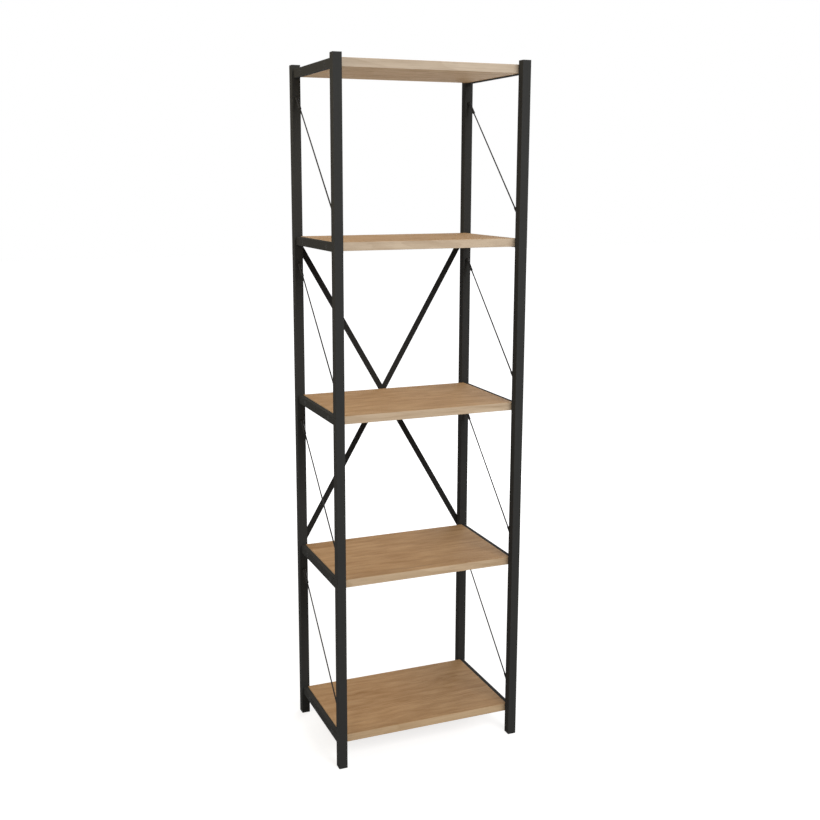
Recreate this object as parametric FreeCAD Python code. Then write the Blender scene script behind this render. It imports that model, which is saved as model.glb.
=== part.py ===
import FreeCAD, Part
import math
import os

# Industrial bookcase: two welded side frames of square steel tube, five oak shelves screwed
# between them, a tie rod across every side bay and a crossed pair of flat bars at the back.
# Millimetres, +Z up, +X to the right seen from the front, the front towards -Y.
# The origin is on the floor, in the middle of the box that holds the whole bookcase.

Vector = FreeCAD.Vector

# Overall size of the steel frame
overall_height = 1950.0
overall_width = 560.0
frame_depth = 380.0

# Square posts
post_side = 25.0
post_wall = 1.5
post_corner_radius = 1.5

# Plastic plugs at the posts' ends
cap_flange = 2.0
foot_flange = 3.0
foot_chamfer = 0.8
plug_depth = 14.0
plug_wall = 2.0
plug_clearance = 0.2

# Shelves
shelf_count = 5
shelf_thickness = 23.0
shelf_edge_radius = 1.0
top_shelf_drop = 10.0
bottom_shelf_top = 88.0
shelf_post_gap = 1.5
shelf_rail_gap = 0.25

# Side rails, welded between a front and a rear post beside each shelf's ends
rail_width = 13.0
rail_height = 24.0
rail_wall = 1.5
rail_corner_radius = 1.2
rail_drop = 2.0

# Shelf screws, flush in dimples of the rails' outer faces, and the inserts that they screw into
shelf_screw_from_post = 60.0
shelf_screw_radius = 3.0
shelf_screw_grip = 14.0
shelf_screw_head_radius = 6.0
insert_radius = 4.5
insert_length = 16.0

# Tie rods: one in each bay of each side, from the rear post down to the front post
tie_rod_radius = 2.0
tie_drop = 82.0
tie_rise = 60.0
tie_sleeve_length = 40.0
tie_sleeve_across = 7.0
tie_ferrule_radius = 3.0
tie_ferrule_length = 32.0
tie_ferrule_chamfer = 0.6
tie_rod_grip = 18.0
tie_fit = 0.05

# Ball studs that hold the tie rods, and the rivet nuts that they screw into
ball_radius = 5.5
ball_standoff = 4.5
ball_neck_radius = 3.5
ball_bore_floor = 1.0
stud_radius = 2.5
stud_length = 9.0
rivet_flange_lip = 1.5
rivet_flange = 0.8
rivet_wall = 1.0
rivet_length = 11.0

# Crossed flat bars behind the rear posts
brace_width = 17.0
brace_thickness = 3.0
brace_top_shelf = 2
brace_bottom_shelf = 4
brace_bolt_radius = 3.0
brace_bolt_grip = 8.0
brace_head_radius = 5.25
brace_head_height = 3.3
brace_head_flat_radius = 2.8
brace_spacer_radius = 7.0
brace_nut_across = 10.0
brace_nut_height = 5.0

# Hexagon sockets in the heads of the shelf screws and brace bolts
socket_across = 4.0
socket_depth = 2.0

# Corners turned off the ends of the nut and of the tension sleeves
hex_chamfer = 0.4

# Clearances between a bolt and what it passes through or screws into
hole_clearance = 0.25
thread_clearance = 0.1

# Places worked out from the sizes above
brace_stack = rivet_flange + 2 * brace_thickness + brace_head_height
front_face = -(frame_depth + brace_stack) / 2
rear_face = front_face + frame_depth
front_inner = front_face + post_side
rear_inner = rear_face - post_side
middle_y = (front_face + rear_face) / 2
post_x = (overall_width - post_side) / 2
rail_inner_x = post_x - rail_width / 2
rail_outer_x = post_x + rail_width / 2
rail_length = rear_inner - front_inner
dimple_wall = rail_wall * math.sqrt(2)
shelf_width = 2 * (rail_inner_x - shelf_rail_gap)
shelf_depth = rail_length - 2 * shelf_post_gap
shelf_pitch = (overall_height - top_shelf_drop - bottom_shelf_top) / (shelf_count - 1)
shelf_tops = [overall_height - top_shelf_drop - n * shelf_pitch for n in range(shelf_count)]
stud_hole_radius = stud_radius + thread_clearance
stud_rivet_radius = stud_hole_radius + rivet_wall
brace_thread_radius = brace_bolt_radius + thread_clearance
brace_rivet_radius = brace_thread_radius + rivet_wall
brace_plane = rear_face + rivet_flange

SIDES = {"left": -1, "right": 1}
ENDS = {"front": -1, "rear": 1}
X_AXIS = Vector(1, 0, 0)
Y_AXIS = Vector(0, 1, 0)
Z_AXIS = Vector(0, 0, 1)
ORIGIN = Vector(0, 0, 0)


def save(node, shapes):
    """Writes one node: a single solid, or a group of separate solids."""
    shape = shapes[0] if len(shapes) == 1 else Part.makeCompound(shapes)
    shape.exportStep("parts/" + node + ".step")


def rounded_prism(size_x, size_y, height, radius):
    """A prism on the XY plane, centred on the Z axis, with its upright edges rounded."""
    prism = Part.makeBox(size_x, size_y, height, Vector(-size_x / 2, -size_y / 2, 0))
    upright = [edge for edge in prism.Edges if abs(edge.tangentAt(edge.FirstParameter).z) > 0.5]
    return prism.makeFillet(radius, upright)


def square_tube(size_x, size_y, length, wall, radius):
    """A hollow section, centred on the Z axis."""
    outside = rounded_prism(size_x, size_y, length, radius)
    bore_x = size_x - 2 * wall
    bore_y = size_y - 2 * wall
    bore = Part.makeBox(bore_x, bore_y, length, Vector(-bore_x / 2, -bore_y / 2, 0))
    return outside.cut(bore)


def hexagon(across, height, start, direction):
    """A hexagonal prism of the given width across its flats."""
    radius = across / math.sqrt(3)
    corners = []
    for n in range(7):
        angle = math.radians(60 * n)
        corners.append(Vector(radius * math.cos(angle), radius * math.sin(angle), 0))
    prism = Part.Face(Part.makePolygon(corners)).extrude(Z_AXIS * height)
    prism.Placement = FreeCAD.Placement(start, FreeCAD.Rotation(Z_AXIS, direction))
    return prism


def turned_hexagon(across, height, start, direction):
    """A hexagonal prism with the corners of both its ends turned off."""
    radius = across / math.sqrt(3) + hex_chamfer
    blank = Part.makeCylinder(radius, height, start, direction)
    rims = [edge for edge in blank.Edges if edge.isClosed()]
    blank = blank.makeChamfer(2 * hex_chamfer, rims)
    return hexagon(across, height, start, direction).common(blank)


def shelf_middle(number):
    """Height of the middle of a shelf's thickness, counted from 1 at the top."""
    return shelf_tops[number - 1] - shelf_thickness / 2


def rail_middle(number):
    return shelf_middle(number) - rail_drop


def post_y(end):
    return middle_y + end * (frame_depth - post_side) / 2


def tie_points(side, bay):
    """Centres of the upper and the lower ball stud of one tie rod, and the way it runs."""
    standoff = rivet_flange + ball_standoff
    upper = Vector(side * post_x, rear_inner - standoff, shelf_tops[bay - 1] - tie_drop)
    lower = Vector(side * post_x, front_inner + standoff, shelf_tops[bay] + tie_rise)
    way = lower.sub(upper)
    way.normalize()
    return upper, lower, way


def brace_bolt_places():
    """Foot of each brace bolt on a rear post's back, and how many bar thicknesses lie under it."""
    places = []
    for side in SIDES.values():
        for shelf in (brace_top_shelf, brace_bottom_shelf):
            upper = shelf == brace_top_shelf
            layers = 0 if upper == (side < 0) else 1
            places.append((Vector(side * post_x, rear_face, shelf_middle(shelf)), layers))
    return places


def post(side, end):
    """A square tube, drilled for the rivet nuts of the tie rods and, at the rear, of the braces."""
    length = overall_height - foot_flange - cap_flange
    tube = square_tube(post_side, post_side, length, post_wall, post_corner_radius)
    tube.translate(Vector(side * post_x, post_y(end), foot_flange))
    for bay in range(1, shelf_count):
        upper, lower, way = tie_points(side, bay)
        centre = upper if end > 0 else lower
        start = Vector(centre.x, post_y(end), centre.z)
        tube = tube.cut(Part.makeCylinder(stud_rivet_radius, post_side, start, Y_AXIS * -end))
    if end > 0:
        for place, layers in brace_bolt_places():
            if place.x * side > 0:
                start = Vector(place.x, post_y(end), place.z)
                tube = tube.cut(Part.makeCylinder(brace_rivet_radius, post_side, start, Y_AXIS))
    return tube


def end_plug(flange, chamfer):
    """A plug for a post's end, flange downwards on the XY plane, with a hollow stem above it."""
    plug = rounded_prism(post_side, post_side, flange, post_corner_radius)
    if chamfer > 0:
        rim = [edge for edge in plug.Edges if edge.BoundBox.ZMax < flange / 2]
        plug = plug.makeChamfer(chamfer, rim)
    stem_side = post_side - 2 * (post_wall + plug_clearance)
    hollow_side = stem_side - 2 * plug_wall
    stem = Part.makeBox(stem_side, stem_side, plug_depth, Vector(-stem_side / 2, -stem_side / 2, flange))
    hollow = Part.makeBox(
        hollow_side, hollow_side, plug_depth, Vector(-hollow_side / 2, -hollow_side / 2, flange)
    )
    return plug.fuse(stem.cut(hollow)).removeSplitter()


def foot_plug(side, end):
    plug = end_plug(foot_flange, foot_chamfer)
    plug.translate(Vector(side * post_x, post_y(end), 0))
    return plug


def top_cap(side, end):
    plug = end_plug(cap_flange, 0)
    plug.rotate(ORIGIN, X_AXIS, 180)
    plug.translate(Vector(side * post_x, post_y(end), overall_height))
    return plug


def shelf_screw_ys():
    return [front_inner + shelf_screw_from_post, rear_inner - shelf_screw_from_post]


def screw_face(side, number, y):
    """Middle of a shelf screw's head, on the rail's outer face."""
    return Vector(side * rail_outer_x, y, rail_middle(number))


def head_cone(face, inward, wall):
    """The cone of a shelf screw's head, widened all round by a wall."""
    depth = shelf_screw_head_radius - shelf_screw_radius
    return Part.makeCone(shelf_screw_head_radius + wall, shelf_screw_radius + wall, depth, face, inward)


def side_rail(side, number):
    """A rectangular tube from post to post, its outer face dimpled for the shelf screws' heads."""
    rail = square_tube(rail_width, rail_height, rail_length, rail_wall, rail_corner_radius)
    rail.rotate(ORIGIN, X_AXIS, -90)
    rail.translate(Vector(side * post_x, front_inner, rail_middle(number)))
    inward = X_AXIS * -side
    for y in shelf_screw_ys():
        face = screw_face(side, number, y)
        hole = Part.makeCylinder(shelf_screw_radius + hole_clearance, rail_width, face, inward)
        rail = rail.fuse(head_cone(face, inward, dimple_wall)).removeSplitter()
        rail = rail.cut(head_cone(face, inward, 0)).cut(hole)
    return rail


def shelf(number):
    """An oak board with eased edges, bored at both ends for the threaded inserts."""
    underside = shelf_tops[number - 1] - shelf_thickness
    corner = Vector(-shelf_width / 2, middle_y - shelf_depth / 2, underside)
    board = Part.makeBox(shelf_width, shelf_depth, shelf_thickness, corner)
    board = board.makeFillet(shelf_edge_radius, board.Edges)
    for side in SIDES.values():
        for y in shelf_screw_ys():
            mouth = Vector(side * shelf_width / 2, y, rail_middle(number))
            board = board.cut(Part.makeCylinder(insert_radius, insert_length, mouth, X_AXIS * -side))
    return board


def shelf_insert(side, number, y):
    """A threaded sleeve, flush in the shelf's end."""
    mouth = Vector(side * shelf_width / 2, y, rail_middle(number))
    sleeve = Part.makeCylinder(insert_radius, insert_length, mouth, X_AXIS * -side)
    thread = Part.makeCylinder(
        shelf_screw_radius + thread_clearance, insert_length, mouth, X_AXIS * -side
    )
    return sleeve.cut(thread)


def shelf_screw(side, number, y):
    """A countersunk screw through the rail, its head flush with the rail's outer face."""
    face = screw_face(side, number, y)
    inward = X_AXIS * -side
    shank_length = rail_width + shelf_rail_gap + shelf_screw_grip
    shank = Part.makeCylinder(shelf_screw_radius, shank_length, face, inward)
    socket = hexagon(socket_across, socket_depth, face, inward)
    return shank.fuse(head_cone(face, inward, 0)).removeSplitter().cut(socket)


def rivet_nut(place, outward, thread_radius):
    """A blind rivet nut: a thin flange on the post's face and a threaded sleeve inside the tube."""
    sleeve_radius = thread_radius + rivet_wall
    flange = Part.makeCylinder(sleeve_radius + rivet_flange_lip, rivet_flange, place, outward)
    sleeve = Part.makeCylinder(sleeve_radius, rivet_length, place, outward * -1)
    start = place.add(outward * rivet_flange)
    bore = Part.makeCylinder(thread_radius, rivet_flange + rivet_length, start, outward * -1)
    return flange.fuse(sleeve).removeSplitter().cut(bore)


def ball_stud(centre, outward, way):
    """A ball on a threaded stud, bored on the slant for the end of the tie."""
    foot = centre.sub(outward * ball_standoff)
    ball = Part.makeSphere(ball_radius, centre)
    below_foot = Part.makeCylinder(2 * ball_radius, ball_radius, foot, outward * -1)
    neck = Part.makeCylinder(ball_neck_radius, ball_standoff, foot, outward)
    stud = Part.makeCylinder(stud_radius, stud_length, foot, outward * -1)
    floor = centre.add(way * ball_bore_floor)
    bore = Part.makeCylinder(tie_ferrule_radius + tie_fit, 2 * ball_radius, floor, way)
    return ball.cut(below_foot).fuse(neck).fuse(stud).removeSplitter().cut(bore)


def tie_rod(side, bay):
    upper, lower, way = tie_points(side, bay)
    start = upper.add(way * (ball_bore_floor + tie_sleeve_length - tie_rod_grip))
    finish = lower.sub(way * (ball_bore_floor + tie_ferrule_length - tie_rod_grip))
    return Part.makeCylinder(tie_rod_radius, finish.sub(start).Length, start, way)


def rod_socket(end_face, way, length):
    """The blind bore that grips a tie rod, from the far end of its sleeve or ferrule."""
    start = end_face.add(way * (length - tie_rod_grip))
    return Part.makeCylinder(tie_rod_radius + tie_fit, tie_rod_grip, start, way)


def tension_sleeve(side, bay):
    """The hexagonal sleeve that draws a tie tight, with a round end in the upper ball."""
    upper, lower, way = tie_points(side, bay)
    end_face = upper.add(way * ball_bore_floor)
    spigot_length = ball_radius - ball_bore_floor + hole_clearance
    spigot = Part.makeCylinder(tie_ferrule_radius, spigot_length, end_face, way)
    grip_start = end_face.add(way * spigot_length)
    grip = turned_hexagon(tie_sleeve_across, tie_sleeve_length - spigot_length, grip_start, way)
    return spigot.fuse(grip).removeSplitter().cut(rod_socket(end_face, way, tie_sleeve_length))


def end_ferrule(side, bay):
    """The plain round end of a tie, in the lower ball, chamfered where the rod goes in."""
    upper, lower, way = tie_points(side, bay)
    back = way * -1
    end_face = lower.add(back * ball_bore_floor)
    barrel_length = tie_ferrule_length - tie_ferrule_chamfer
    barrel = Part.makeCylinder(tie_ferrule_radius, barrel_length, end_face, back)
    shoulder = end_face.add(back * barrel_length)
    tip_radius = tie_ferrule_radius - tie_ferrule_chamfer
    tip = Part.makeCone(tie_ferrule_radius, tip_radius, tie_ferrule_chamfer, shoulder, back)
    return barrel.fuse(tip).cut(rod_socket(end_face, back, tie_ferrule_length))


def rear_brace(rising):
    """A flat bar from one rear post to the other, with round ends and a hole at its middle."""
    layer = 1 if rising else 0
    low_z = shelf_middle(brace_bottom_shelf)
    high_z = shelf_middle(brace_top_shelf)
    left = Vector(-post_x, brace_plane + layer * brace_thickness, low_z if rising else high_z)
    right = Vector(post_x, left.y, high_z if rising else low_z)
    way = right.sub(left)
    across = Vector(way.z, 0, -way.x)
    across.normalize()
    half = across * (brace_width / 2)
    outline = [left.add(half), right.add(half), right.sub(half), left.sub(half), left.add(half)]
    bar = Part.Face(Part.makePolygon(outline)).extrude(Y_AXIS * brace_thickness)
    for tip in (left, right):
        bar = bar.fuse(Part.makeCylinder(brace_width / 2, brace_thickness, tip, Y_AXIS))
    bar = bar.removeSplitter()
    hole_radius = brace_bolt_radius + hole_clearance
    for place in (left, right, (left + right) * 0.5):
        bar = bar.cut(Part.makeCylinder(hole_radius, brace_thickness, place, Y_AXIS))
    return bar


def brace_spacer(place):
    """A washer as thick as a bar, under the bar that lies behind the other."""
    seat = place.add(Y_AXIS * rivet_flange)
    disc = Part.makeCylinder(brace_spacer_radius, brace_thickness, seat, Y_AXIS)
    hole = Part.makeCylinder(brace_bolt_radius + hole_clearance, brace_thickness, seat, Y_AXIS)
    return disc.cut(hole)


def button_bolt(seat, shank_length):
    """A button-head bolt with its head towards the back: a dome with a flat round its socket."""
    shank = Part.makeCylinder(brace_bolt_radius, shank_length, seat, Y_AXIS * -1)
    rim_excess = brace_head_radius ** 2 - brace_head_flat_radius ** 2
    dome_offset = (brace_head_height - rim_excess / brace_head_height) / 2
    dome_radius = math.hypot(brace_head_radius, dome_offset)
    dome = Part.makeSphere(dome_radius, seat.add(Y_AXIS * dome_offset))
    head = Part.makeCylinder(brace_head_radius, brace_head_height, seat, Y_AXIS).common(dome)
    head_top = seat.add(Y_AXIS * brace_head_height)
    socket = hexagon(socket_across, socket_depth, head_top, Y_AXIS * -1)
    return shank.fuse(head).removeSplitter().cut(socket)


def brace_bolt(place, layers):
    seat = place.add(Y_AXIS * (rivet_flange + (layers + 1) * brace_thickness))
    return button_bolt(seat, (layers + 1) * brace_thickness + rivet_flange + brace_bolt_grip)


def crossing():
    """The point on the front of the front bar where the two bars cross."""
    height = (shelf_middle(brace_top_shelf) + shelf_middle(brace_bottom_shelf)) / 2
    return Vector(0, brace_plane, height)


def centre_bolt():
    seat = crossing().add(Y_AXIS * 2 * brace_thickness)
    return button_bolt(seat, 2 * brace_thickness + brace_nut_height)


def centre_nut():
    nut = turned_hexagon(brace_nut_across, brace_nut_height, crossing(), Y_AXIS * -1)
    bore = Part.makeCylinder(brace_thread_radius, brace_nut_height, crossing(), Y_AXIS * -1)
    return nut.cut(bore)


os.makedirs("parts", exist_ok=True)
SHELVES = range(1, shelf_count + 1)
BAYS = range(1, shelf_count)

for end_name, end in ENDS.items():
    for side_name, side in SIDES.items():
        corner_name = end_name + "_" + side_name
        save("post_" + corner_name, [post(side, end)])
        save("foot_plug_" + corner_name, [foot_plug(side, end)])
        save("top_cap_" + corner_name, [top_cap(side, end)])

for number in SHELVES:
    save("shelf_" + str(number), [shelf(number)])
    for side_name, side in SIDES.items():
        save("side_rail_" + side_name + "_" + str(number), [side_rail(side, number)])

shelf_fixings = []
for number in SHELVES:
    for side in SIDES.values():
        shelf_fixings += [(side, number, y) for y in shelf_screw_ys()]
save("shelf_inserts", [shelf_insert(*fixing) for fixing in shelf_fixings])
save("shelf_screws", [shelf_screw(*fixing) for fixing in shelf_fixings])

ball_studs = []
tie_rivet_nuts = []
tension_sleeves = []
end_ferrules = []
for side_name, side in SIDES.items():
    for bay in BAYS:
        upper, lower, way = tie_points(side, bay)
        for centre, outward, run in ((upper, Y_AXIS * -1, way), (lower, Y_AXIS, way * -1)):
            ball_studs.append(ball_stud(centre, outward, run))
            place = centre.sub(outward * (ball_standoff + rivet_flange))
            tie_rivet_nuts.append(rivet_nut(place, outward, stud_hole_radius))
        tension_sleeves.append(tension_sleeve(side, bay))
        end_ferrules.append(end_ferrule(side, bay))
        save("tie_rod_" + side_name + "_" + str(bay), [tie_rod(side, bay)])
save("tie_ball_studs", ball_studs)
save("tie_rivet_nuts", tie_rivet_nuts)
save("tie_tension_sleeves", tension_sleeves)
save("tie_end_ferrules", end_ferrules)

save("rear_brace_falling", [rear_brace(False)])
save("rear_brace_rising", [rear_brace(True)])
bolt_places = brace_bolt_places()
save("brace_bolts", [brace_bolt(place, layers) for place, layers in bolt_places])
save("brace_rivet_nuts", [rivet_nut(place, Y_AXIS, brace_thread_radius) for place, layers in bolt_places])
save("brace_spacers", [brace_spacer(place) for place, layers in bolt_places if layers == 1])
save("brace_centre_bolt", [centre_bolt()])
save("brace_centre_nut", [centre_nut()])
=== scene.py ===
import math
import bpy
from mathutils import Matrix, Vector


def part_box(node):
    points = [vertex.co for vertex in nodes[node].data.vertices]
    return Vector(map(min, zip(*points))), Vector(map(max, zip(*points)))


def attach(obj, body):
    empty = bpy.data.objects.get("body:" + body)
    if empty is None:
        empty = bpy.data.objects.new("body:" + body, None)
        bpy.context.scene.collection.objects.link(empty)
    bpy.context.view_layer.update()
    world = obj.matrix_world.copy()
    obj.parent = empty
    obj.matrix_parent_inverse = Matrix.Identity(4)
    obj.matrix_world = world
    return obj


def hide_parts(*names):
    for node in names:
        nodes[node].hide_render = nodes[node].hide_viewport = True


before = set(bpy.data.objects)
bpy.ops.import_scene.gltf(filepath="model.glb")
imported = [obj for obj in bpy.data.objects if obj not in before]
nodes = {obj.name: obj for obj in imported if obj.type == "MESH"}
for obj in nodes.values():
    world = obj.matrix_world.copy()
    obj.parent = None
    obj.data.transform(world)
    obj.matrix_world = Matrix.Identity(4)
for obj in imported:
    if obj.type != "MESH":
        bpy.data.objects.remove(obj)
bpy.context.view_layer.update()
print("frame loaded:", len(nodes), "CAD nodes")


# places that the looks are worked out from, all read from the frame
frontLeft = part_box("post_front_left")
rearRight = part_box("post_rear_right")
postSide = frontLeft[1].x - frontLeft[0].x
postX = (frontLeft[0].x + frontLeft[1].x) / -2  # from the bookcase's middle to a post's, sideways
postY = (rearRight[1].y - frontLeft[0].y - postSide) / 2  # and from front to back
footprint = (frontLeft[0] + rearRight[1]) / 2  # middle of the four feet
footprint.z = 0
shelfCount = sum(name[:-1] == "shelf_" for name in nodes)
shelfNumbers = range(1, shelfCount + 1)  # the top shelf is number 1
shelfBoxes = {number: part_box("shelf_%d" % number) for number in shelfNumbers}
shelfPitch = shelfBoxes[1][1].z - shelfBoxes[2][1].z
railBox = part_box("side_rail_left_%d" % shelfCount)  # the lowest rail
railSize = railBox[1] - railBox[0]


class Wire:  # a node's output, with arithmetic
    def __init__(self, graph, socket):
        self.graph = graph
        self.socket = socket

    def calc(self, operation, *others):
        values = dict(enumerate((self,) + others))
        return self.graph.add("ShaderNodeMath", {"operation": operation}, values)

    def __add__(self, other):
        return self.calc("ADD", other)

    def __sub__(self, other):
        return self.calc("SUBTRACT", other)

    def __rsub__(self, other):
        return self * -1 + other

    def __mul__(self, other):
        return self.calc("MULTIPLY", other)

    def __truediv__(self, other):
        return self.calc("DIVIDE", other)

    def __pow__(self, other):
        return self.calc("POWER", other)

    def __gt__(self, other):
        return self.calc("GREATER_THAN", other)

    def __abs__(self):
        return self.calc("ABSOLUTE")

    __radd__ = __add__
    __rmul__ = __mul__

    def ramp(self, low, high):  # 0 below low, 1 above high, smooth between
        values = {"Value": self, "From Min": low, "From Max": high}
        return self.graph.add("ShaderNodeMapRange", {"interpolation_type": "SMOOTHSTEP"}, values)

    def swing(self, amount):  # a noise as a change to either side, by up to half the amount
        return (self - 0.5) * amount


class Graph:  # a node tree that grows by one method
    def __init__(self, tree):
        self.tree = tree

    def pick(self, sockets, key):
        if isinstance(key, int):
            return sockets[key]
        return next(s for s in sockets if key in (s.identifier, s.name))

    def connect(self, value, socket):
        if isinstance(value, Wire):
            self.tree.links.new(value.socket, socket)
        else:
            socket.default_value = value

    def add(self, kind, settings=None, values=None, give=0):
        node = self.tree.nodes.new(kind)
        for key, value in (settings or {}).items():
            setattr(node, key, value)
        for key, value in (values or {}).items():
            self.connect(value, self.pick(node.inputs, key))
        return Wire(self, self.pick(node.outputs, give)) if node.outputs else None

    def axes(self, vector, wanted="XYZ"):
        return [self.add("ShaderNodeSeparateXYZ", None, {0: vector}, axis) for axis in wanted]

    def join(self, x, y, z):
        return self.add("ShaderNodeCombineXYZ", None, {"X": x, "Y": y, "Z": z})

    def stretch(self, vector, scale):
        return self.add("ShaderNodeVectorMath", {"operation": "MULTIPLY"}, {0: vector, 1: scale})

    def shift(self, vector, other):
        return self.add("ShaderNodeVectorMath", {"operation": "ADD"}, {0: vector, 1: other})

    def noise(self, vector, scale=1.0, detail=2.0, roughness=0.5):
        values = {"Vector": vector, "Scale": scale, "Detail": detail, "Roughness": roughness}
        return self.add("ShaderNodeTexNoise", {"noise_dimensions": "3D"}, values)


class Finish(Graph):  # a material: one shader, fed by what varies over the surface
    def __init__(self, name, fixed):
        self.material = bpy.data.materials.new(name)
        self.material.use_nodes = True
        super().__init__(self.material.node_tree)
        self.tree.nodes.clear()
        self.shader = self.add("ShaderNodeBsdfPrincipled", None, fixed)
        self.add("ShaderNodeOutputMaterial", None, {"Surface": self.shader})
        self.place = self.add("ShaderNodeTexCoord", give="Object")

    def feed(self, name, wire):
        self.connect(wire, self.pick(self.shader.socket.node.inputs, name))

    def facingUp(self):  # 1 where the surface faces up, -1 where it faces down
        return self.axes(self.add("ShaderNodeNewGeometry", give="Normal"), "Z")[0]

    def mix(self, colourA, colourB, factor):
        values = {"Factor_Float": factor, "A_Color": colourA, "B_Color": colourB}
        return self.add("ShaderNodeMix", {"data_type": "RGBA"}, values, "Result_Color")

    def bump(self, height, relief):  # relief is the height in metres, and how strongly it shows
        values = {"Height": height, "Distance": relief[0], "Strength": relief[1]}
        self.feed("Normal", self.add("ShaderNodeBump", None, values))


class Shape(Graph):  # a Geometry Nodes tree with named inputs
    def __init__(self, name, inputs):
        super().__init__(bpy.data.node_groups.new(name, "GeometryNodeTree"))
        face = self.tree.interface
        face.new_socket("Geometry", in_out="OUTPUT", socket_type="NodeSocketGeometry")
        face.new_socket("Geometry", in_out="INPUT", socket_type="NodeSocketGeometry")
        self.identifiers = {}
        for label, kind in inputs.items():
            socket = face.new_socket(label, in_out="INPUT", socket_type="NodeSocket" + kind)
            self.identifiers[label] = socket.identifier

    def given(self, label):
        return self.add("NodeGroupInput", give=label)

    def end(self, geometry, material):
        whole = self.add("GeometryNodeRealizeInstances", None, {"Geometry": geometry})
        painted = self.add("GeometryNodeSetMaterial", None, {"Geometry": whole, "Material": material})
        self.add("NodeGroupOutput", None, {"Geometry": painted})

    def make(self, name, values, points=(), edges=()):  # runs the tree, and keeps a plain mesh
        lines = bpy.data.meshes.new(name + "_lines")
        lines.from_pydata(points, edges, [])
        piece = bpy.data.objects.new(name, lines)
        bpy.context.scene.collection.objects.link(piece)
        modifier = piece.modifiers.new(self.tree.name, "NODES")
        modifier.node_group = self.tree
        for label, value in values.items():
            modifier[self.identifiers[label]] = value
        settled = piece.evaluated_get(bpy.context.evaluated_depsgraph_get())
        solid = bpy.data.meshes.new_from_object(settled)
        piece.modifiers.remove(modifier)
        piece.data = solid
        solid.name = name
        bpy.data.meshes.remove(lines)
        return piece


black = (0.0, 0.0, 0.0, 1.0)
white = (1.0, 1.0, 1.0, 1.0)


def rgb(red, green, blue):  # a colour as seen on screen, 0 to 255
    linear = []
    for value in (red, green, blue):
        part = value / 255
        linear.append(part / 12.92 if part <= 0.04045 else ((part + 0.055) / 1.055) ** 2.4)
    return (*linear, 1.0)


def blend(colourA, colourB, share):
    return tuple(a + (b - a) * share for a, b in zip(colourA, colourB))


# oak boards, each glued up from a few leaves; paces are waves per metre along, across and through a board

oak = {
    "faceLight": (rgb(224, 192, 150), rgb(194, 156, 113)),  # top board, bottom board; the change from one to the other is painted light falloff and sheen, paler above
    "faceDark": (rgb(179, 141, 94), rgb(154, 114, 70)),
    # the edges are paler than the broad faces: partly the edge grain's own tone, partly painted light on
    # the front edges that face the lamps
    "edgeLight": (rgb(212, 195, 173), rgb(223, 193, 155)),
    "edgeDark": (rgb(181, 161, 138), rgb(189, 155, 116)),
    "facePaintedFalloffPower": 3,  # power by which the faces reach the bottom board's colours sooner than the edges, in the painted light falloff
    "faceTurn": (0.4, 0.75),  # how far a surface faces up or down to count as a broad face
    "leafWidth": 0.109,
    "leafStagger": 0.37,  # share of a leaf, from one board's joints to the next board's
    "leafSeed": 7.0,  # keeps the boards' leaves from being alike
    "leafTone": 0.2,
    "ringSpacing": 0.0052,
    "ringTone": 0.3,
    "lateWood": (0.35, 0.95),  # where a ring darkens
    "pithHeight": 0.005,  # above the underside, at the board's middle
    "pithSlope": 0.09,
    "pithSpread": (0.16, 0.09),  # from leaf to leaf, across and up or down
    "pithWander": (0.05, 0.03),  # within a leaf
    "wanderPace": (1.6, 7.0, 7.0),
    "wanderJump": (9, 9, 9),  # from leaf to leaf
    "grainJump": (3, 3, 3),
    "swayPace": (7.0, 11.0, 11.0),
    "sway": 0.03,  # of the grain on a broad face
    "edgePace": 0.4,  # the grain along an edge, where it is 1 on a broad face
    "grain": {  # pace, detail and roughness of each layer
        "fibre": ((9.0, 420.0, 420.0), 4.0, 0.6),
        "band": ((11.0, 62.0, 62.0), 3.0, 0.55),
        "broad": ((6.0, 24.0, 24.0), 2.0, 0.5),
        "cloud": ((9.0, 5.0, 5.0), 2.0, 0.5),
        "pores": ((55.0, 2100.0, 2100.0), 1.0, 0.5),
        "streaks": ((2.4, 90.0, 90.0), 2.0, 0.5),
    },
    "grainTone": {"fibre": 0.8, "band": 1.4, "broad": 0.65, "cloud": 0.35},
    "baseTone": 0.345,  # between the light colour at 0 and the dark one at 1
    "pore": rgb(112, 82, 54),
    "poreRange": (0.6, 0.7),
    "poreShare": 0.25,
    "poreLoss": 0.6,  # in late wood
    "greyStreak": rgb(126, 112, 96),
    "streakRange": (0.66, 0.8),
    "streakShare": 0.3,
    "gloss": 0.21,
    "roughness": 0.67,
    "fibreRoughness": 0.25,
    "poreRoughness": 0.15,
    "fibreHeight": 0.5,
    "ringHeight": 0.25,
    "poreDepth": 0.8,
    "relief": (0.00025, 0.55),
}


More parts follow.
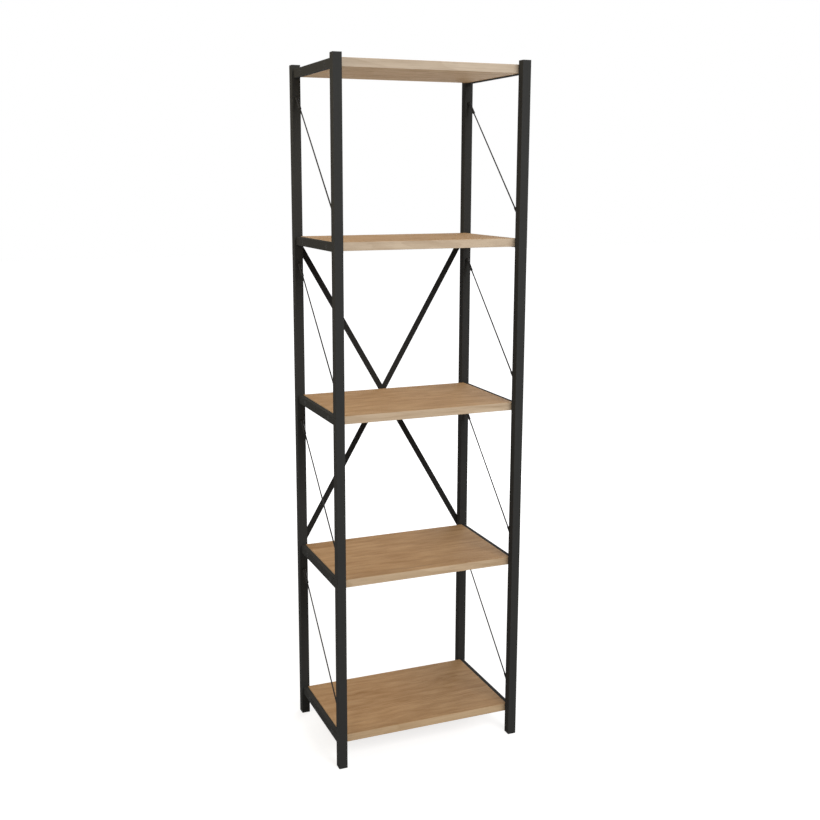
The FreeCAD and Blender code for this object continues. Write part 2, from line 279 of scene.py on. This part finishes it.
def oakFinish(number):
    m = Finish("oiledOak%d" % number, {"Specular IOR Level": oak["gloss"]})
    low = shelfBoxes[number][0]
    x, y, z = m.axes(m.place)
    leaf = ((y - low.y) / oak["leafWidth"] + number * oak["leafStagger"]).calc("FLOOR")
    seed = m.join(leaf, number * oak["leafSeed"], 0.0)
    chance = m.add("ShaderNodeTexWhiteNoise", {"noise_dimensions": "3D"}, {"Vector": seed}, "Color")
    luckX, luckY, luckZ = m.axes(chance)
    # growth rings about a pith that runs along the board and dips away to one end
    wanderPlace = m.shift(m.stretch(m.place, oak["wanderPace"]), m.stretch(chance, oak["wanderJump"]))
    wander = m.noise(wanderPlace, detail=3.0)
    across = y + luckY.swing(oak["pithSpread"][0]) + wander.swing(oak["pithWander"][0])
    above = x * oak["pithSlope"] + z - (low.z + oak["pithHeight"])
    above = above + luckX.swing(oak["pithSpread"][1]) + wander.swing(oak["pithWander"][1])
    ring = ((across * across + above * above) ** 0.5 / oak["ringSpacing"]).calc("FRACT")
    late = ring.ramp(*oak["lateWood"]) * (1 - ring.ramp(oak["lateWood"][1], 1.0))
    # grain that sways over the broad faces, and runs straighter and longer along the edges
    broadFace = abs(m.facingUp()).ramp(*oak["faceTurn"])
    sway = m.noise(m.stretch(m.place, oak["swayPace"])).swing(oak["sway"]) * broadFace
    pace = oak["edgePace"] + broadFace * (1 - oak["edgePace"])
    grainPlace = m.shift(m.join(x * pace, y + sway, z), m.stretch(chance, oak["grainJump"]))
    grain = {}
    for name, (scale, detail, roughness) in oak["grain"].items():
        grain[name] = m.noise(m.stretch(grainPlace, scale), 1.0, detail, roughness)
    tone = oak["baseTone"] + late * oak["ringTone"] + luckZ.swing(oak["leafTone"])
    for name, share in oak["grainTone"].items():
        tone = tone + grain[name].swing(share)
    tone = tone.calc("MAXIMUM", 0.0).calc("MINIMUM", 1.0)
    pore = grain["pores"].ramp(*oak["poreRange"]) * (1 - late * oak["poreLoss"])
    streak = grain["streaks"].ramp(*oak["streakRange"])
    # painted light falloff and sheen: the upper boards are paler and greyer and the lower ones warmer,
    # standing in for light that is stronger on the upper boards
    edgePaintedFalloff = (number - 1) / (shelfCount - 1)
    facePaintedFalloff = 1 - (1 - edgePaintedFalloff) ** oak["facePaintedFalloffPower"]
    # edges paler than broad faces: partly the edge grain's own tone, partly painted light for edges that
    # face the lamps
    edge = m.mix(blend(*oak["edgeLight"], edgePaintedFalloff), blend(*oak["edgeDark"], edgePaintedFalloff), tone)
    face = m.mix(blend(*oak["faceLight"], facePaintedFalloff), blend(*oak["faceDark"], facePaintedFalloff), tone)
    colour = m.mix(m.mix(edge, face, broadFace), oak["greyStreak"], streak * oak["streakShare"])
    m.feed("Base Color", m.mix(colour, oak["pore"], pore * oak["poreShare"]))
    rough = grain["fibre"].swing(oak["fibreRoughness"]) + pore * oak["poreRoughness"]
    m.feed("Roughness", oak["roughness"] + rough)
    height = grain["fibre"] * oak["fibreHeight"] + late * oak["ringHeight"] - pore * oak["poreDepth"]
    m.bump(height, oak["relief"])
    return m.material


# satin black powder coat on the posts, rails and bars

coat = {
    "colour": rgb(58, 58, 57),
    "fleck": rgb(69, 69, 67),
    "fleckRange": (0.5, 0.78),
    "fleckShare": 0.7,
    "grainSize": 0.00042,
    "peelSize": 0.0016,
    "patchPace": 9.0,  # waves per metre
    "patchShare": 0.5,
    "worn": rgb(80, 79, 76),
    "wornShare": 0.5,
    "rubPace": 70.0,
    "rubRange": (0.42, 0.66),
    "postCorner": (0.44, 0.49),  # where the wear starts and is full, in tube sides from the tube's middle
    "railCorner": (0.4, 0.48),
    "barRubPace": 24.0,
    "barRubRange": (0.5, 0.8),
    "barRubShare": 0.5,
    "barPaintedShade": 0.66,  # painted shade: the thin bars' coat is darkened for the shade they stand in, further back than the posts
    "dust": rgb(68, 66, 62),
    "dustTurn": (0.7, 0.95),  # how far a surface faces up to gather dust
    "dustRange": (0.3, 0.8),
    "dustShare": 0.35,
    "gloss": 0.02,
    "roughness": 0.74,
    "patchRoughness": 0.2,
    "dustRoughness": 0.2,
    "wornSmoothness": 0.12,
    "peelHeight": 0.7,
    "grainHeight": 0.3,
    "relief": (0.00016, 0.6),
}


def coatFinish(name, wear, shade=1.0):
    m = Finish(name, {"Specular IOR Level": coat["gloss"]})
    peel = m.noise(m.place, 1 / coat["peelSize"])
    grain = m.noise(m.place, 1 / coat["grainSize"], detail=1.0)
    patch = m.noise(m.place, coat["patchPace"], detail=3.0)
    rub = m.noise(m.place, coat["rubPace"], detail=4.0, roughness=0.65)
    worn = wear(m) * rub.ramp(*coat["rubRange"])
    dust = m.facingUp().ramp(*coat["dustTurn"]) * patch.ramp(*coat["dustRange"]) * coat["dustShare"]
    # shade darkens the coat's colours towards black; on the bars this is painted shade
    shaded = {key: blend(black, coat[key], shade) for key in ("colour", "fleck", "dust", "worn")}
    fleck = grain.ramp(*coat["fleckRange"]) * coat["fleckShare"] + patch.swing(coat["patchShare"])
    colour = m.mix(shaded["colour"], shaded["fleck"], fleck)
    colour = m.mix(colour, shaded["dust"], dust)
    m.feed("Base Color", m.mix(colour, shaded["worn"], worn * coat["wornShare"]))
    rough = coat["roughness"] + patch.swing(coat["patchRoughness"]) + dust * coat["dustRoughness"]
    m.feed("Roughness", rough - worn * coat["wornSmoothness"])
    m.bump(peel * coat["peelHeight"] + grain * coat["grainHeight"], coat["relief"])
    return m.material


def postWear(m):  # the four long corners of every post
    x, y = m.axes(m.place, "XY")
    sideways = abs(abs(x) - postX) / postSide
    endways = abs(abs(y - footprint.y) - postY) / postSide
    return sideways.calc("MINIMUM", endways).ramp(*coat["postCorner"])


def railWear(m):  # the long corners of every side rail
    x, z = m.axes(m.place, "XZ")
    sideways = abs(abs(x) - postX) / railSize.x
    level = (z - railBox[0].z + railSize.z / 2) / shelfPitch
    upright = abs(level.calc("FRACT") * shelfPitch - railSize.z) / railSize.z
    return sideways.calc("MINIMUM", upright).ramp(*coat["railCorner"])


def barWear(m):  # the bars rub all over, a little
    rub = m.noise(m.place, coat["barRubPace"], detail=3.0)
    return rub.ramp(*coat["barRubRange"]) * coat["barRubShare"]


# smaller steel

steel = {  # paces are waves per metre
    "tieRod": {
        "colour": rgb(38, 38, 37), "bright": rgb(60, 60, 58),
        "roughness": 0.5, "metallic": 0.1, "grainPace": 900.0,
    },
    "blackOxide": {
        "colour": rgb(38, 37, 36), "bright": rgb(62, 61, 58),
        "roughness": 0.48, "metallic": 0.3, "grainPace": 1400.0,
    },
    "blackScrew": {
        "colour": rgb(50, 50, 49), "bright": rgb(60, 60, 58),
        "roughness": 0.7, "metallic": 0.05, "grainPace": 1600.0,
    },
    "brightZinc": {
        "colour": rgb(168, 168, 164), "bright": rgb(206, 206, 202),
        "roughness": 0.34, "metallic": 1.0, "grainPace": 700.0,
    },
    "weldBead": {
        "colour": rgb(42, 42, 41), "bright": rgb(56, 55, 53),
        "roughness": 0.55, "metallic": 0.0, "grainPace": 800.0,
    },
}
steelSkin = {  # the same on all of them
    "gloss": 0.12,
    "grainRange": (0.4, 0.75),
    "grainShare": 0.6,
    "grainRoughness": 0.15,
    "stainPace": 60.0,
    "stainRange": (0.5, 0.8),
    "stainShare": 0.3,
    "stainRoughness": 0.3,
    "stainMetallic": 0.1,
    "relief": (0.00006, 0.45),
}


def steelFinish(name):
    tone = steel[name]
    m = Finish(name, {"Specular IOR Level": steelSkin["gloss"]})
    grain = m.noise(m.place, tone["grainPace"])
    stain = m.noise(m.place, steelSkin["stainPace"], detail=3.0, roughness=0.6)
    bright = grain.ramp(*steelSkin["grainRange"]) * steelSkin["grainShare"]
    bright = bright + stain.ramp(*steelSkin["stainRange"]) * steelSkin["stainShare"]
    m.feed("Base Color", m.mix(tone["colour"], tone["bright"], bright))
    rough = stain.swing(steelSkin["stainRoughness"]) + grain.swing(steelSkin["grainRoughness"])
    m.feed("Roughness", tone["roughness"] + rough)
    m.feed("Metallic", tone["metallic"] + stain.swing(steelSkin["stainMetallic"]))
    m.bump(grain, steelSkin["relief"])
    return m.material


# moulded plastic of the caps and foot plugs

plastic = {
    "colour": rgb(34, 34, 33),
    "scuff": rgb(56, 55, 53),
    "scuffPace": (40.0, 160.0, 40.0),  # waves per metre
    "scuffRange": (0.55, 0.75),
    "scuffShare": 0.4,
    "scuffSmoothness": 0.1,
    "grainPace": 1900.0,
    "grainRange": (0.5, 0.9),
    "grainShare": 0.2,
    "grainRoughness": 0.2,
    "gloss": 0.3,
    "roughness": 0.62,
    "relief": (0.00008, 0.5),
}


def plasticFinish():
    m = Finish("mouldedPlastic", {"Specular IOR Level": plastic["gloss"]})
    grain = m.noise(m.place, plastic["grainPace"], detail=1.0)
    scuff = m.noise(m.stretch(m.place, plastic["scuffPace"]), detail=4.0, roughness=0.7)
    scuff = scuff.ramp(*plastic["scuffRange"])
    pale = scuff * plastic["scuffShare"] + grain.ramp(*plastic["grainRange"]) * plastic["grainShare"]
    m.feed("Base Color", m.mix(plastic["colour"], plastic["scuff"], pale))
    rough = plastic["roughness"] + grain.swing(plastic["grainRoughness"])
    m.feed("Roughness", rough - scuff * plastic["scuffSmoothness"])
    m.bump(grain, plastic["relief"])
    return m.material


finishes = {
    "post": coatFinish("postCoat", postWear),
    "rail": coatFinish("railCoat", railWear),
    # the bars' coat carries painted shade
    "bar": coatFinish("barCoat", barWear, coat["barPaintedShade"]),
    "plastic": plasticFinish(),
}
finishOf = {  # the start of a node's name, and the finish of such nodes; the first that fits counts
    "shelf_inserts": "brightZinc",
    "shelf_screws": "blackScrew",
    "post_": "post",
    "side_rail_": "rail",
    "rear_brace_": "bar",
    "top_cap_": "plastic",
    "foot_plug_": "plastic",
    "tie_rod_": "tieRod",
    "tie_": "blackOxide",
    "brace_rivet_nuts": "brightZinc",
    "brace_": "blackOxide",
}
for number in shelfNumbers:
    finishes["oak%d" % number] = oakFinish(number)
    finishOf["shelf_%d" % number] = "oak%d" % number
for steelName in steel:
    finishes[steelName] = steelFinish(steelName)
print("finishes made:", len(finishes))

for nodeName, piece in nodes.items():
    finish = next(value for start, value in finishOf.items() if nodeName.startswith(start))
    piece.data.materials.clear()
    piece.data.materials.append(finishes[finish])
print("finishes given to the CAD nodes")


# weld beads where the rails meet the posts: over the top, down the outside and back underneath

bead = {
    "radius": 0.0013,
    "ripple": 0.0012,  # from one ripple to the next
    "rippleDepth": 0.16,  # share of the radius
    "unevenness": 0.3,  # share of the radius
    "lumpPace": 420.0,  # waves per metre
    "bend": 0.0015,  # radius of the rail's own corners
    "bendPoints": 4,
    "taper": (-0.02, 0.03),  # share of the bead over which its ends swell to full size
    "pointsPerRipple": 5,
    "sides": 8,
}


def beadTree():
    inputs = {
        "Radius": "Float", "Ripple": "Float", "Depth": "Float", "Unevenness": "Float", "Lump Pace": "Float",
        "Bend": "Float", "Bend Points": "Int", "Step": "Float", "Sides": "Int",
    }
    g = Shape("weldBead", inputs)
    line = g.add("GeometryNodeMeshToCurve", None, {"Mesh": g.given("Geometry")})
    values = {"Curve": line, "Count": g.given("Bend Points"), "Radius": g.given("Bend")}
    line = g.add("GeometryNodeFilletCurve", {"mode": "POLY"}, values)
    values = {"Curve": line, "Length": g.given("Step")}
    line = g.add("GeometryNodeResampleCurve", {"mode": "LENGTH"}, values)
    along = g.add("GeometryNodeSplineParameter", give="Length")
    share = g.add("GeometryNodeSplineParameter", give="Factor")
    wave = abs((along / g.given("Ripple") * math.pi).calc("SINE"))
    lumps = g.noise(g.add("GeometryNodeInputPosition"), g.given("Lump Pace"))
    taper = share.calc("MINIMUM", 1 - share).ramp(*bead["taper"])
    swell = (1 - g.given("Depth") * (1 - wave) + lumps.swing(g.given("Unevenness"))) * taper
    values = {"Resolution": g.given("Sides"), "Radius": g.given("Radius")}
    ring = g.add("GeometryNodeCurvePrimitiveCircle", None, values)
    values = {"Curve": line, "Profile Curve": ring, "Scale": swell, "Fill Caps": True}
    g.end(g.add("GeometryNodeCurveToMesh", None, values), finishes["weldBead"])
    return g


def weldBeads():
    tree = beadTree()
    values = {
        "Radius": bead["radius"], "Ripple": bead["ripple"], "Depth": bead["rippleDepth"],
        "Unevenness": bead["unevenness"], "Lump Pace": bead["lumpPace"],
        "Bend": bead["bend"], "Bend Points": bead["bendPoints"],
        "Step": bead["ripple"] / bead["pointsPerRipple"], "Sides": bead["sides"],
    }
    for side in ("left", "right"):
        points = []
        edges = []
        for number in shelfNumbers:
            low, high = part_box("side_rail_%s_%d" % (side, number))
            inner, outer = sorted((low.x, high.x), key=abs)
            for y in (low.y, high.y):
                first = len(points)
                points += [(inner, y, high.z), (outer, y, high.z), (outer, y, low.z), (inner, y, low.z)]
                edges += [(n, n + 1) for n in range(first, len(points) - 1)]
        piece = tree.make("weld_beads_" + side, values, points, edges)
        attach(piece, "root")
        print(piece.name, len(piece.data.polygons), "faces")


weldBeads()


# tie rods with the rolled thread that the tension sleeve turns on

thread = {
    "length": 0.040,  # from the rod's upper end, nearly half of it inside the sleeve
    "pitch": 0.0007,
    "depth": 0.00038,
    "ringsPerTurn": 4,
    "sides": 12,
}


def rodTree():
    inputs = {
        "Radius": "Float", "Length": "Float", "Thread Length": "Float", "Pitch": "Float", "Depth": "Float",
        "Rings": "Int", "Sides": "Int", "Start": "Vector", "Way": "Vector",
    }
    g = Shape("threadedRod", inputs)
    step = g.given("Thread Length") / g.given("Rings")
    tall = g.given("Thread Length") + step  # the thread, and one step more for the plain rod
    values = {
        "Vertices": g.given("Sides"), "Side Segments": g.given("Rings") + 1,
        "Radius": g.given("Radius"), "Depth": tall,
    }
    rod = g.add("GeometryNodeMeshCylinder", {"fill_type": "NGON"}, values, "Mesh")
    x, y, z = g.axes(g.add("GeometryNodeInputPosition"))
    up = z + tall / 2
    turn = y.calc("ARCTAN2", x) / (2 * math.pi)
    flank = abs((up / g.given("Pitch") - turn).calc("FRACT") - 0.5) * 2  # 0 in the root, 1 on the crest
    cut = (1 - flank) * g.given("Depth") / g.given("Radius")
    last = up > tall - step / 2  # the last ring is drawn out to the rod's far end
    keep = 1 - cut * (1 - last)
    place = g.join(x * keep, y * keep, up + last * (g.given("Length") - tall))
    rod = g.add("GeometryNodeSetPosition", None, {"Geometry": rod, "Position": place})
    turned = g.add("FunctionNodeAlignRotationToVector", {"axis": "Z"}, {"Vector": g.given("Way")})
    values = {"Geometry": rod, "Translation": g.given("Start"), "Rotation": turned}
    g.end(g.add("GeometryNodeTransform", None, values), finishes["tieRod"])
    return g


def rodEnds(name):  # middles of the rod's two end faces, the upper one first
    corners = [vertex.co for vertex in nodes[name].data.vertices]
    middle = (min(c.z for c in corners) + max(c.z for c in corners)) / 2
    halves = [[c for c in corners if c.z > middle], [c for c in corners if c.z <= middle]]
    return [sum(half, Vector()) / len(half) for half in halves]


def tieRods():
    tree = rodTree()
    rings = round(thread["length"] / thread["pitch"] * thread["ringsPerTurn"])
    for side in ("left", "right"):
        for bay in range(1, shelfCount):
            name = "tie_rod_%s_%d" % (side, bay)
            low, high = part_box(name)
            upper, lower = rodEnds(name)
            way = lower - upper
            values = {
                "Radius": (high.x - low.x) / 2, "Length": way.length, "Start": upper, "Way": way,
                "Thread Length": thread["length"], "Pitch": thread["pitch"], "Depth": thread["depth"],
                "Rings": rings, "Sides": thread["sides"],
            }
            piece = tree.make("threaded_rod_%s_%d" % (side, bay), values)
            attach(piece, "root")
            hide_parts(name)
    print("tie rods made:", len(piece.data.polygons), "faces each")


tieRods()


# floor, light and camera

studio = {
    "floorSize": 40.0,
    "floorColour": (0.55, 0.55, 0.55, 1.0),
    "glowNear": 0.76,  # for the camera only, so that the open floor is white and the shadow stays
    "glowFar": 1.0,
    "glowReach": (0.5, 3.5),  # metres from the frame's origin
    "ambient": 0.335,
    "seenBy": ("Is Camera Ray", "Is Glossy Ray", "Is Transmission Ray"),
}


def cameraRays(graph):  # 1 for what the camera sees, straight, mirrored or through something clear
    seen = [graph.add("ShaderNodeLightPath", give=name) for name in studio["seenBy"]]
    return sum(seen).calc("MINIMUM", 1.0)


def makeFloor():
    half = studio["floorSize"] / 2
    mesh = bpy.data.meshes.new("floor")
    corners = [(-half, -half, 0), (half, -half, 0), (half, half, 0), (-half, half, 0)]
    mesh.from_pydata(corners, [], [(0, 1, 2, 3)])
    floor = bpy.data.objects.new("floor", mesh)
    bpy.context.scene.collection.objects.link(floor)
    fixed = {
        "Base Color": studio["floorColour"], "Roughness": 1.0,
        "Specular IOR Level": 0.0, "Emission Strength": 1.0,
    }
    m = Finish("paleFloor", fixed)
    x, y = m.axes(m.place, "XY")
    far = ((x * x + y * y) ** 0.5).ramp(*studio["glowReach"])
    glow = studio["glowNear"] + far * (studio["glowFar"] - studio["glowNear"])
    m.feed("Emission Color", m.mix(black, white, glow * cameraRays(m)))
    mesh.materials.append(m.material)


def makeWorld():
    world = bpy.data.worlds.new("studioWorld")
    bpy.context.scene.world = world
    world.use_nodes = True
    graph = Graph(world.node_tree)
    graph.tree.nodes.clear()
    strength = cameraRays(graph) * (1 - studio["ambient"]) + studio["ambient"]
    sky = graph.add("ShaderNodeBackground", None, {"Color": white, "Strength": strength})
    graph.add("ShaderNodeOutputWorld", None, {"Surface": sky})


lamps = {
    "key": {
        "place": (0.75, -3.15, 2.9), "aim": (0, 0, 1.1), "size": 2.2,
        "power": 78.0, "colour": (1.0, 1.0, 1.0),
    },
    "side": {
        "place": (-1.5, -0.2, 2.3), "aim": (0, 0, 1.5), "size": 0.8,
        "power": 11.1, "colour": (1.0, 0.84, 0.58),
    },
    "back": {
        "place": (2.6, 2.6, 1.3), "aim": (0, 0, 0.9), "size": 2.0,
        "power": 38.0, "colour": (1.0, 1.0, 1.0),
    },
}


def makeLamp(name):
    lamp = lamps[name]
    data = bpy.data.lights.new(name, "AREA")
    data.shape = "DISK"
    data.size = lamp["size"]
    data.energy = lamp["power"]
    data.color = lamp["colour"]
    light = bpy.data.objects.new(name, data)
    bpy.context.scene.collection.objects.link(light)
    light.location = lamp["place"]
    way = Vector(lamp["aim"]) - light.location
    light.rotation_euler = way.to_track_quat("-Z", "Y").to_euler()


view = {  # fitted to the photograph: place in metres from the middle of the feet, angles in degrees
    "place": (-1.17989, -2.84874, 1.64106),
    "turn": 21.6442,
    "tilt": -11.0360,
    "focalPixels": 1084.815,
    "centrePixel": (390.526, 389.458),
    "imageSide": 820,
}


def makeCamera():
    data = bpy.data.cameras.new("camera")
    camera = bpy.data.objects.new("camera", data)
    bpy.context.scene.collection.objects.link(camera)
    camera.location = Vector(view["place"]) + footprint
    camera.rotation_euler = (math.radians(90 + view["tilt"]), 0, math.radians(-view["turn"]))
    side = view["imageSide"]
    data.lens = view["focalPixels"] / side * data.sensor_width
    data.shift_x = (side / 2 - view["centrePixel"][0]) / side
    data.shift_y = (view["centrePixel"][1] - side / 2) / side
    bpy.context.scene.camera = camera


makeFloor()
makeWorld()
for lampName in lamps:
    makeLamp(lampName)
makeCamera()
bpy.context.scene.view_settings.view_transform = "Standard"
print("studio ready")
